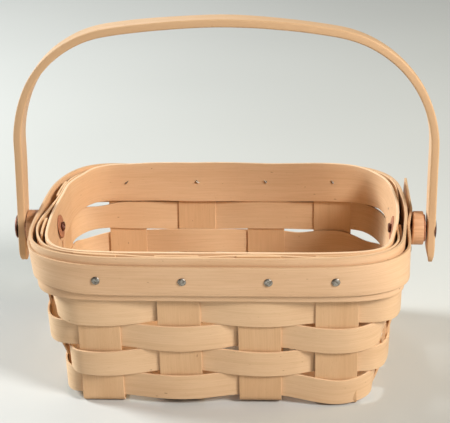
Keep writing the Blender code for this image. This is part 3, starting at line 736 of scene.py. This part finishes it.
def makeUpright(kind, number, place):
    settings = uprightSettings
    isLong = kind == "long"
    flat, half = settings["flatHalf"], wall["uprightWidth"] / 2

    def reachAt(side, z, shift=0.0):
        if isLong:
            return quarterPoint(turnAtLength(place + shift, z), z)[1]
        return steppedReach(z, place + shift, side, number)

    def base(along):
        return layer["splint"] / 2 + bowLift(place if isLong else along)

    def downWall(side):
        low, radius, folds = base(wall["bowReach"]), settings["foldRadius"], settings["foldSteps"]
        reach = reachAt(side, low)
        bend = pi / 2 - atan((reachAt(side, low + radius) - reach) / radius)
        turnX, turnZ = -reach + radius * tan(bend / 2), low + radius
        top = wall["height"] - settings["rightDrop" if side == right and not isLong else "topDrop"]
        foldTop = turnZ - radius * cos(bend)
        steps = ceil((top - foldTop) / settings["step"])
        heights = [top + (foldTop - top) * key / steps for key in range(steps)]
        angles = [bend * (1 - key / folds) for key in range(folds + 1)]
        folded = [(turnX - radius * sin(angle), turnZ - radius * cos(angle)) for angle in angles]
        return [(-reachAt(side, z), z) for z in heights] + folded

    near, far = downWall(left), downWall(right)
    start, end = near[-1][0], -far[-1][0]
    keys = [(start - flat, near[-1][1])]
    for other, crossing in enumerate(wall["crossPlaces"] if isLong else wall["longPlaces"]):
        isUpper = (other + number) % 2 == (0 if isLong else 1)
        keys.append((crossing, base(crossing) + (settings["crossingRise"] if isUpper else 0.0)))
    keys.append((end + flat, far[-1][1]))
    spots = [start + along for along in stepsOver(end - start, settings["step"])[1:-1]]
    bottom = [(spot, easedLevel(keys, spot)) for spot in spots]
    route = near + bottom + [(-distance, z) for distance, z in reversed(far)]
    path = []
    for key, (distance, z) in enumerate(route):
        side = left if distance < 0 else right
        before, after = route[max(key - 1, 0)], route[min(key + 1, len(route) - 1)]
        tangent = Vector((after[0] - before[0], after[1] - before[1])).normalized()
        onWall = min(1.0, max(0.0, (z - settings["curveFoot"]) / settings["curveRise"]))
        less, middle, more = (reachAt(side, z, shift) for shift in (-half, 0.0, half))
        slope = (more - less) / wall["uprightWidth"] * onWall
        if isLong:
            point, out = Vector((place, distance, z)), Vector((-slope, tangent.y, -tangent.x))
        else:
            point, out = Vector((distance, place, z)), Vector((tangent.y, -slope, -tangent.x))
        path.append((point, out.normalized(), {"cup": (middle - (more + less) / 2) * onWall}))
    piece = bendSplint(f"upright_{kind}_{number + 1}", path, {
        **settings["cut"], "Seed": 20.0 + 1.7 * number + (7 if isLong else 0),
        "Material": mapleFor("upright", number + (0 if isLong else len(wall["longPlaces"])))})
    keepPiece(piece, [f"{kind}_splint_{number + 1}"])


for kind, places in (("long", wall["longPlaces"]), ("cross", wall["crossPlaces"])):
    for number, place in enumerate(places):
        makeUpright(kind, number, place)
print("uprights folded")

# Hoops, each a band whose two thinned ends lie on each other
bandCut = {"Edge Radius": 0.0004, "Edge Steps": 3}
hoopSettings = {
    "lap": 0.036,
    "step": 0.0022,
    "tipShare": 0.16,
    "tipLess": 0.08,          # the upper end is thinner by this share, so that the ends don't touch
    "cut": {**bandCut, "Thickness": layer["hoop"], "Cuts": 5},
}
hoopShapes = {
    "inner": {
        "sign": -1, "height": wall["innerHeight"], "lapSide": front, "look": "hoop",
        "bulges": ((-108, -4, 36, 36, 1.1), (-102, 60, 30, 26, -2.6), (0, 75, 90, 80, 0.9),
                   (108, -20, 20, 30, 0.4), (104, -46, 26, 26, -1.6), (108, 14, 45, 60, 1.8)),
        "lifts": ((-10, 77, 110, 110, 1.5), (-58, 77, 36, 36, 0.9), (-92, 66, 34, 34, 2.4), (80, 75, 40, 60, 1.8)),
        "pinches": ((-10, 77, 110, 110, -0.075), (-92, 66, 34, 34, -0.016), (80, 75, 40, 60, -0.050)),
        "leans": ((108, 2, 45, 50, 0.12),),
    },
    "outer": {
        "sign": 1, "height": wall["bandHeight"], "lapSide": back, "look": "outer",
        "bulges": ((-108, 20, 55, 34, 3.0), (-109, -20, 42, 44, 3.6), (-103, 60, 30, 25, -1.8),
                   (108, 6, 36, 36, 1.3), (106, -44, 32, 36, -1.8), (102, 62, 30, 30, -2.4)),
        "lifts": ((30, 78, 85, 110, -2.3), (-95, 64, 34, 34, 1.6)),
        "leans": ((-105, -55, 34, 34, 0.14),),
    },
}


def makeHoop(number, label):
    settings, shape = hoopSettings, hoopShapes[label]
    ring = Ring(wall["height"] - shape["height"] / 2)
    lap, tip = settings["lap"], settings["tipShare"]
    start = (ring.upright(shape["lapSide"], 1) + ring.upright(shape["lapSide"], 2) - lap) / 2
    path = []
    for walked in stepsOver(ring.length + lap, settings["step"]):
        thin, layerSide = 1.0, 0
        if walked < lap:
            thin, layerSide = tip + (1 - 2 * tip) * walked / lap, -1
        elif walked > ring.length:
            thin = 1 - tip - settings["tipLess"] - (1 - 2 * tip) * (walked - ring.length) / lap
            layerSide = 1
        offset = shape["sign"] * hoopOffset + layerSide * (1 - thin) * layer["hoop"] / 2
        distance = start + walked
        path.append(bandPoint(ring, distance, *ring.at(distance), offset, 0.0, shape, thin))
    piece = bendSplint(f"rim_hoop_{label}", path, {
        **settings["cut"], "Width": shape["height"], "Seed": 40.0 + number, "Material": mapleFor(shape["look"], number)})
    keepPiece(piece, [f"{label}_hoop"])


for number, label in enumerate(hoopShapes, 1):
    makeHoop(number, label)

# Trim band: its outer end springs off the right end's rear corner and covers its inner end
trimSettings = {
    "under": (0.109, 0.042),      # where the inner end stops
    "ramp": (0.114, -0.012),      # from here the free end runs straight on
    "freeLength": 0.073,
    "step": 0.0022,
    "fine": 16,
    "spring": 0.0036,
    "springFrom": -0.006,         # walked from the ramp, where the spring starts and where it is full
    "springFull": 0.024,
    "rise": 0.0016,
    "cut": {**bandCut, "Width": 0.019, "Thickness": layer["trim"], "Cuts": 4},
    "bulges": ((110, -38, 24, 26, -0.4), (-108, 20, 55, 34, 3.0), (-109, -20, 42, 44, 3.0), (-103, 60, 30, 25, -1.8)),
    "leans": ((-105, -55, 34, 34, 0.14),),
    "lifts": ((-100, -64, 34, 30, 1.2),),
    "pinches": ((-100, -64, 34, 30, 0.10),),
}
rimRing = Ring(pivotHeight, trimSettings["fine"])


def makeTrim():
    settings, ring = trimSettings, rimRing
    start, ramp = ring.near(*settings["under"]), ring.length + ring.near(*settings["ramp"])
    path = []
    for walked in stepsOver(ramp - start + settings["freeLength"], settings["step"]):
        distance = start + walked
        free = max(0.0, distance - ramp)
        point, rise, out = ring.at(min(distance, ramp))
        point = point + rise.cross(out).normalized() * free
        spring = settings["spring"] * blendIn(distance - ramp, settings["springFrom"], settings["springFull"])
        lift = settings["rise"] * free / settings["freeLength"]
        path.append(bandPoint(ring, distance, point, rise, out, trimOffset + spring, lift, settings))
    piece = bendSplint("rim_trim_band", path, {**settings["cut"], "Seed": 51.0, "Material": mapleFor("trim", 1)})
    keepPiece(piece, ["trim_band"])


makeTrim()
print("hoops and trim bent")

turnedSharp = 0.6


# Turned pieces, from (radius, height) points that run down the outside
def turnPiece(name, profile, steps, place):
    shape = bmesh.new()
    turns = [2 * pi * key / steps for key in range(steps)]
    rings = []
    for radius, height in profile:
        spots = [(radius * cos(turn), radius * sin(turn), height) for turn in (turns if radius > 0 else turns[:1])]
        rings.append([shape.verts.new(spot) for spot in spots])
    for first, second in zip(rings, rings[1:]):
        for key in range(steps):
            after = (key + 1) % steps
            corners = [first[key % len(first)], first[after % len(first)],
                       second[after % len(second)], second[key % len(second)]]
            shape.faces.new([corner for count, corner in enumerate(corners) if corner not in corners[:count]])
    bmesh.ops.recalc_face_normals(shape, faces=shape.faces)
    bmesh.ops.transform(shape, matrix=place, verts=shape.verts)
    mesh = bpy.data.meshes.new(name)
    shape.to_mesh(mesh)
    shape.free()
    turnOutward(mesh)
    mesh.shade_smooth()
    mesh.set_sharp_from_angle(angle=turnedSharp)
    return addObject(name, mesh)


# Points from shares of a radius and of a height above a base
def profileFrom(shares, radius, height, base=0.0):
    return [(radius * across, base + height * along) for across, along in shares]


# Tacks: a dented steel head on the trim, and a point bent over inside
tackSettings = {
    "headRadius": 0.0025, "headHeight": 0.0008, "shankRadius": 0.0008,
    "head": ((0, 0.72), (0.25, 0.80), (0.45, 1), (0.68, 0.97), (0.87, 0.78), (0.97, 0.5), (1, 0.3), (0.98, 0.05), (0.93, 0)),
    "shankEase": 0.0004, "shankEnd": 0.0005, "shankTaper": 0.6,
    "tipLength": 0.0026, "tipRadius": 0.00055, "tipTaper": 0.35, "tipBack": 0.0004, "tipDepth": 0.00045,
    "steps": 20, "tipSteps": 8,
    "lift": 0.0001,           # of the head off the trim
    "frontShifts": (0.001524, 0.003302, 0.005588, -0.001524),
    "backRise": 0.0035,
    "endReach": -0.0018,
    "values": {"Tilt": 0.06, "Seed": 5},
}
steelLook = {"Base": (0.40, 0.38, 0.34), "Worn": (0.72, 0.70, 0.65), "Dull": (0.20, 0.17, 0.14),
             "Scale": 900.0, "Low Roughness": 0.28, "High Roughness": 0.5}
steel = finishMaterial("tackSteel", wearGroup, steelLook, 0.3, wornDepth, {"Metallic": 0.9})


def makeTacks(name, sides, reach):
    settings = tackSettings
    shank, tip, tipLength = settings["shankRadius"], settings["tipRadius"], settings["tipLength"]
    profile = profileFrom(settings["head"], settings["headRadius"], settings["headHeight"])
    profile += [(shank, 0.0), (shank, -reach), (shank * settings["shankTaper"], -reach - settings["shankEase"]),
                (0.0, -reach - settings["shankEnd"])]
    tack = turnPiece("tackShape", profile, settings["steps"], Matrix.Identity(4))
    shape = bmesh.new()
    shape.from_mesh(tack.data)
    middle = (tipLength / 2 - settings["tipBack"], 0.0, -reach - settings["tipDepth"])
    bmesh.ops.create_cone(
        shape, cap_ends=True, segments=settings["tipSteps"], radius1=tip, radius2=tip * settings["tipTaper"],
        depth=tipLength, matrix=Matrix.Translation(middle) @ Matrix.Rotation(pi / 2, 4, "Y"))
    shape.to_mesh(tack.data)
    shape.free()
    points, outs, nodes = [], [], []
    for side, label, spots in sides:
        high = pivotHeight + (settings["backRise"] if side == back else 0.0)
        for number, spot in enumerate(spots):
            out, face = wallLean((side, spot), high)[1], wallPoint((side, spot), high)
            shift = rimRing.swell(rimRing.near(face.x, face.y), trimSettings, "bulges")
            points.append(face + out * (trimFace + shift + settings["lift"]))
            outs.append(out)
            nodes.append(f"tack_{label}_{number + 1}")
    mesh = bpy.data.meshes.new("tackPoints")
    mesh.from_pydata(points, [], [])
    addVectors(mesh, "outward", outs)
    piece = runTree(addObject(name, mesh), fastenerTree, {**settings["values"], "Fastener": tack, "Material": steel})
    spare = tack.data
    bpy.data.objects.remove(tack, do_unlink=True)
    bpy.data.meshes.remove(spare)
    keepPiece(piece, nodes)


frontSpots = [spot + shift for spot, shift in zip(wall["longPlaces"], tackSettings["frontShifts"])]
makeTacks("rim_tacks", ((front, "front", frontSpots), (back, "back", wall["longPlaces"])), trimFace + innerFace)
makeTacks("rim_tacks_ends", ((right, "right", wall["crossPlaces"]), (left, "left", wall["crossPlaces"])),
          trimFace + innerFace + tackSettings["endReach"])
print("tacks driven")

# Handle: a thick bent strip, its legs ending round below the pivots
handleSettings = {
    "thickness": 0.005,
    "topWidth": 0.016,
    "legWidth": 0.014,
    "rise": 0.135,
    "tail": 0.0225,
    "crownRadius": 0.390,
    "shoulderRadius": 0.073,
    "bendSteps": 28, "legSteps": 24, "endSteps": 12,
    "endStop": 12.35,          # the rounded end stops short of a point, as 12 of these steps
    "tipThin": {1: 0.42, -1: 0.68},
    "tipLength": 0.012,
    "tipPower": 1.6,
    "tipOut": 0.0006,
    # each of these as (amount, where it starts, where it is full), by height over the pivots
    "skew": (0.0013, 0.0, 0.06),          # the bow stands this far to the right of its pivots
    "upper": (1.0, 0.07, 0.11),
    "leftIn": (0.0010, -0.02, 0.02),      # the left leg bows inwards
    "rightIn": (0.0017, 0.03, 0.12),      # the right shoulder is nearer
    "tailIn": (0.0009, 0.0, 0.045),       # and its tail is further out
    # and these by distance from the middle
    "leftRise": (0.0014, 0.02, 0.09),     # the left shoulder is higher
    "rightDrop": (0.0004, 0.0, 0.04),
    "leftTwist": (0.045, 0.0, 0.08),
    "rightTwist": (0.045, 0.0, 0.05),     # the bow leans back about its own length, more at the right
    "cut": {"Edge Radius": 0.0011, "Cuts": 5, "Edge Steps": 5, "Unevenness": 0.00035, "Seed": 61.0, "Sharp Angle": 0.9},
}
pivot = {
    "spacerRadius": 0.0105, "spacerThickness": 0.0098, "spacerEase": 0.0005, "easeShare": 0.3,
    "shimRadius": 0.0085, "shimThickness": 0.0008, "shimEase": 0.0002,
    "rivetRadius": 0.0024, "headRadius": 0.0075, "headHeight": 0.0017,
    "head": ((0, 1), (0.3, 0.97), (0.55, 0.88), (0.78, 0.72), (0.92, 0.52), (0.98, 0.34), (1, 0.18), (0.98, 0)),
    "endRadius": 0.0031, "endHeight": 0.0014,
    "end": ((0.94, 0), (1, 0.35), (0.93, 0.8), (0.76, 1), (0.56, 0.9), (0.45, 0.45), (0.38, 0.15), (0, 0.1)),
    "washerRadius": 0.0075, "washerThickness": 0.0008, "washerEase": 0.35, "washerSteps": 4,
    # where the wall has moved out at each end: the washer goes with it, and the spacer is shorter
    "wallOut": {1: 0.0020, -1: 0.0008},
    "spacerCut": {1: 0.0028, -1: 0.0004},
    "washerLean": {1: 0.14, -1: 0.13},
}
spacerIn = halfLength(pivotHeight) + trimFace + gap
shimIn = spacerIn + pivot["spacerThickness"] + gap
legIn = shimIn + pivot["shimThickness"] + gap
legOut = legIn + handleSettings["thickness"]
headIn = legOut + gap
washerOut = halfLength(pivotHeight) - innerFace - gap
washerIn = washerOut - pivot["washerThickness"]
endOut = washerIn - gap - pivot["endRadius"] * wall["endTaperShare"]


# Half of the handle's middle line, as (x, height over the pivots, share of its width)
def handleHalf():
    settings = handleSettings
    middle, steps = settings["thickness"] / 2, settings["bendSteps"]
    crownRadius, shoulderRadius = settings["crownRadius"], settings["shoulderRadius"]
    flank, crownHeight = legOut - shoulderRadius, settings["rise"] - crownRadius
    crown = asin(flank / (crownRadius - shoulderRadius))
    shoulderHeight = crownHeight + (crownRadius - shoulderRadius) * cos(crown)

    def arc(x, height, radius, angle):
        return x + (radius - middle) * sin(angle), height + (radius - middle) * cos(angle), 1.0

    half = [arc(0.0, crownHeight, crownRadius, crown * key / steps) for key in range(steps + 1)]
    for key in range(1, steps + 1):
        half.append(arc(flank, shoulderHeight, shoulderRadius, crown + (pi / 2 - crown) * key / steps))
    leg, roundRadius = legOut - middle, settings["legWidth"] / 2
    legEnd = roundRadius - settings["tail"]
    for key in range(1, settings["legSteps"] + 1):
        half.append((leg, shoulderHeight + (legEnd - shoulderHeight) * key / settings["legSteps"], 1.0))
    for key in range(1, settings["endSteps"] + 1):
        angle = pi / 2 * (1 - key / settings["endStop"])
        half.append((leg, legEnd - roundRadius * cos(angle), sin(angle)))
    return half, shoulderHeight


def makeHandle():
    settings = handleSettings
    topWidth, legWidth, tail = settings["topWidth"], settings["legWidth"], settings["tail"]
    half, shoulderHeight = handleHalf()

    def eased(key, value):
        amount, start, end = settings[key]
        return amount * blendIn(value, start, end)

    path = []
    for side in (1, -1):
        run = []
        for x, height, share in half:
            widthHere = legWidth + (topWidth - legWidth) * blendIn(height, 0.0, shoulderHeight)
            tip = 1 - blendIn(height, -tail, settings["tipLength"] - tail)
            thin = 1 - (1 - settings["tipThin"][side]) * tip ** settings["tipPower"]
            lean = eased("skew", height) + side * (1 - thin) * settings["tipOut"]
            upper = eased("upper", height)
            if side > 0:
                lean += settings["tailIn"][0] - eased("tailIn", height) - eased("rightIn", height)
                lift = -eased("rightDrop", x) * upper
                twist = (settings["rightTwist"][0] + eased("rightTwist", x)) * upper
            else:
                lean += eased("leftIn", height) * (1 - upper)
                lift = eased("leftRise", x) * upper
                twist = settings["leftTwist"][0] - eased("leftTwist", x)
            point = Vector((side * x + lean, 0.0, pivotHeight + height + lift))
            run.append((point, twist, {"wide": share * widthHere / topWidth, "thin": thin}))
        path += list(reversed(run)) if side > 0 else run[1:]
    shaped = []
    for key, (point, twist, options) in enumerate(path):
        before, after = path[max(key - 1, 0)][0], path[min(key + 1, len(path) - 1)][0]
        out = (after - before).normalized().cross(Vector((0.0, 1.0, 0.0))) - Vector((0.0, twist, 0.0))
        shaped.append((point, out.normalized(), options))
    piece = bendSplint("handle_bow", shaped, {
        **settings["cut"], "Width": topWidth, "Thickness": settings["thickness"], "Material": mapleFor("handle", 1)})
    keepPiece(piece, ["handle"], "handle")


makeHandle()
print("handle bent")

copperLook = {"Base": (0.20, 0.085, 0.055), "Worn": (0.46, 0.23, 0.15), "Dull": (0.10, 0.04, 0.03),
              "Scale": 500.0, "Low Roughness": 0.32, "High Roughness": 0.55}
hideLook = {"Base": (0.47, 0.20, 0.10), "Worn": (0.60, 0.29, 0.16), "Dull": (0.34, 0.125, 0.065),
            "Scale": 700.0, "Low Roughness": 0.6, "High Roughness": 0.85}
blockLook = {"Light": (0.66, 0.37, 0.20), "Dark": (0.42, 0.20, 0.09), "Edge Colour": (0.7, 0.45, 0.3),
             "Fibre": 0.6, "Bands": 0.7, "Specks": 0.2, "Shift": 4.0}


# Matrix on the pivot axis whose Z points out of one end, leaning down by an angle
def endFrame(side, x, lean=0.0):
    out = Vector((side * cos(lean), 0.0, -sin(lean)))
    return Matrix.Translation((side * x, 0.0, pivotHeight)) @ out.to_track_quat("Z", "Y").to_matrix().to_4x4()


def makePivots():
    copper = finishMaterial("rivetCopper", wearGroup, copperLook, 0.35, wornDepth, {"Metallic": 0.75})
    hide = finishMaterial("washerLeather", wearGroup, hideLook, 0.6, wornDepth, {"Metallic": 0.0})
    block = finishMaterial("spacerWood", mapleGroup, blockLook, 0.5, mapleDepth, mapleConstants)

    def keepTurned(piece, material, node):
        piece.data.materials.append(material)
        keepPiece(piece, [node])

    for side, label in ((-1, "left"), (1, "right")):
        wallOut, low = pivot["wallOut"][side], pivot["spacerCut"][side]
        radius, thick, ease = pivot["spacerRadius"], pivot["spacerThickness"], pivot["spacerEase"]
        slight = ease * pivot["easeShare"]
        profile = [(0.0, thick), (radius - ease, thick), (radius - slight, thick - slight), (radius, thick - ease),
                   (radius, low + ease), (radius - slight, low + ease), (radius - ease, low), (0.0, low)]
        spacer = turnPiece(f"pivot_spacer_{label}", profile, 64, endFrame(side, spacerIn))
        for vertex in spacer.data.vertices:
            if abs(vertex.co.x) < spacerIn + thick / 2:
                vertex.co.x += side * wall["endTaperShare"] * (vertex.co.z - pivotHeight)
        keepTurned(spacer, block, f"spacer_{label}")

        radius, thick, ease = pivot["shimRadius"], pivot["shimThickness"], pivot["shimEase"]
        bore = pivot["rivetRadius"] + ease
        profile = [(bore, thick), (radius - ease, thick), (radius, thick - ease), (radius, ease),
                   (radius - ease, 0.0), (bore, 0.0), (bore, thick)]
        shim = turnPiece(f"pivot_thin_washer_{label}", profile, 48, endFrame(side, shimIn))
        keepTurned(shim, hide, f"thin_washer_{label}")

        radius, thick, steps = pivot["washerRadius"], pivot["washerThickness"], pivot["washerSteps"]
        edge = thick * pivot["washerEase"]
        profile = [(0.0, 0.0)]
        for half, base in enumerate((edge, thick - edge)):
            for angle in [pi / 2 * (half + key / steps) for key in range(steps + 1)]:
                profile.append((radius - edge + edge * sin(angle), base - edge * cos(angle)))
        place = endFrame(side, washerIn + wallOut, pivot["washerLean"][side])
        washer = turnPiece(f"pivot_inner_washer_{label}", profile + [(0.0, thick)], 64, place)
        keepTurned(washer, hide, f"inner_washer_{label}")

        length = headIn - endOut - wallOut
        profile = profileFrom(pivot["head"], pivot["headRadius"], pivot["headHeight"])
        profile += [(pivot["rivetRadius"], 0.0), (pivot["rivetRadius"], -length)]
        profile += profileFrom(pivot["end"], pivot["endRadius"], -pivot["endHeight"], -length)
        rivet = turnPiece(f"pivot_rivet_{label}", profile, 48, endFrame(side, headIn))
        keepTurned(rivet, copper, f"rivet_{label}")


makePivots()
print("pivots riveted")

# Floor, light and camera
stageSettings = {
    "floor": (0.56, 0.565, 0.545),
    "floorDark": 0.97,        # share of it that its darker patches keep
    "floorSize": 6.0,
    "patchScale": 3.0,
    "constants": {"Roughness": 0.75, "Specular IOR Level": 0.2},
    "world": (0.93, 0.96, 1.0),
    "worldStrength": 0.03,
    "lampCentre": (0.0, 0.0, 0.07),
}
lampSettings = (
    # name, azimuth and elevation of the lamp in degrees, distance, size, power, colour
    ("keyLamp", 52.0, 35.0, 1.6, 0.5, 26.5, (1.0, 0.985, 0.965)),
    ("sideLamp", -105.0, 25.0, 1.6, 0.5, 38.0, (0.93, 0.985, 1.0)),
    ("frontLamp", 28.0, 22.0, 1.6, 0.45, 3.4, (1.0, 0.85, 0.75)),
    ("rightLamp", 95.0, 40.0, 1.6, 0.4, 4.0, (1.0, 0.85, 0.40)),
    ("backLamp", -160.0, 36.0, 1.6, 0.6, 4.5, (1.0, 1.0, 1.0)),
)
cameraSettings = {
    "imageWidth": 450,
    "focalPixels": 1321.81,
    "pitch": 0.38211,
    "yaw": 0.06255,
    "roll": -0.01973,
    "distance": 0.82499 * 1.006,
    "target": (0.00066, 0.0, 0.09745 * 1.006),
    "sensorWidth": 36.0,
    "nearest": 0.05,
}


def makeStage():
    settings = stageSettings
    half = settings["floorSize"] / 2
    mesh = bpy.data.meshes.new("studioFloor")
    mesh.from_pydata([(x * half, y * half, 0.0) for x, y in ((-1, -1), (1, -1), (1, 1), (-1, 1))], [], [(0, 1, 2, 3)])
    floor = addObject("studio_floor", mesh)
    material, tree, shader = newMaterial("paleFloor", settings["constants"])
    place = addNode(tree, "ShaderNodeTexCoord").outputs["Object"]
    inputs = {"Vector": place, "Scale": settings["patchScale"], "Detail": 1.0}
    noise = addNode(tree, "ShaderNodeTexNoise", inputs).outputs[0]
    pale, dark = [(*(share * part for part in settings["floor"]), 1) for share in (1.0, settings["floorDark"])]
    tree.links.new(mixColour(tree, "MIX", spread(tree, noise, 0.3, 0.7), pale, dark), shader.inputs["Base Color"])
    mesh.materials.append(material)
    world = bpy.data.worlds.new("paleRoom")
    bpy.context.scene.world = world
    world.use_nodes = True
    sky = world.node_tree.nodes["Background"]
    sky.inputs["Color"].default_value = (*settings["world"], 1)
    sky.inputs["Strength"].default_value = settings["worldStrength"]


def makeLamps():
    for name, azimuth, elevation, distance, size, power, colour in lampSettings:
        turn, lift = azimuth * pi / 180, elevation * pi / 180
        towards = Vector((sin(turn) * cos(lift), -cos(turn) * cos(lift), sin(lift)))
        lamp = bpy.data.lights.new(name, "AREA")
        lamp.shape = "DISK"
        lamp.size = size
        lamp.energy = power
        lamp.color = colour
        item = addObject(name, lamp)
        item.location = Vector(stageSettings["lampCentre"]) + towards * distance
        item.rotation_euler = towards.to_track_quat("Z", "Y").to_euler()


def makeCamera():
    settings = cameraSettings
    pitch, yaw, roll = settings["pitch"], settings["yaw"], settings["roll"]
    backward = Vector((sin(yaw) * cos(pitch), -cos(yaw) * cos(pitch), sin(pitch)))
    level = Vector((cos(yaw), sin(yaw), 0.0))
    upright = backward.cross(level)
    across = level * cos(roll) + upright * sin(roll)
    above = upright * cos(roll) - level * sin(roll)
    place = Vector(settings["target"]) + backward * settings["distance"]
    lens = bpy.data.cameras.new("photoLens")
    lens.sensor_width = settings["sensorWidth"]
    lens.lens = settings["focalPixels"] * lens.sensor_width / settings["imageWidth"]
    lens.clip_start = settings["nearest"]
    item = addObject("photoCamera", lens)
    item.matrix_world = Matrix.Translation(place) @ Matrix((across, above, backward)).transposed().to_4x4()
    bpy.context.scene.camera = item


makeStage()
makeLamps()
makeCamera()
bpy.context.scene.view_settings.view_transform = "Standard"
bpy.context.view_layer.update()
print("stage lit")
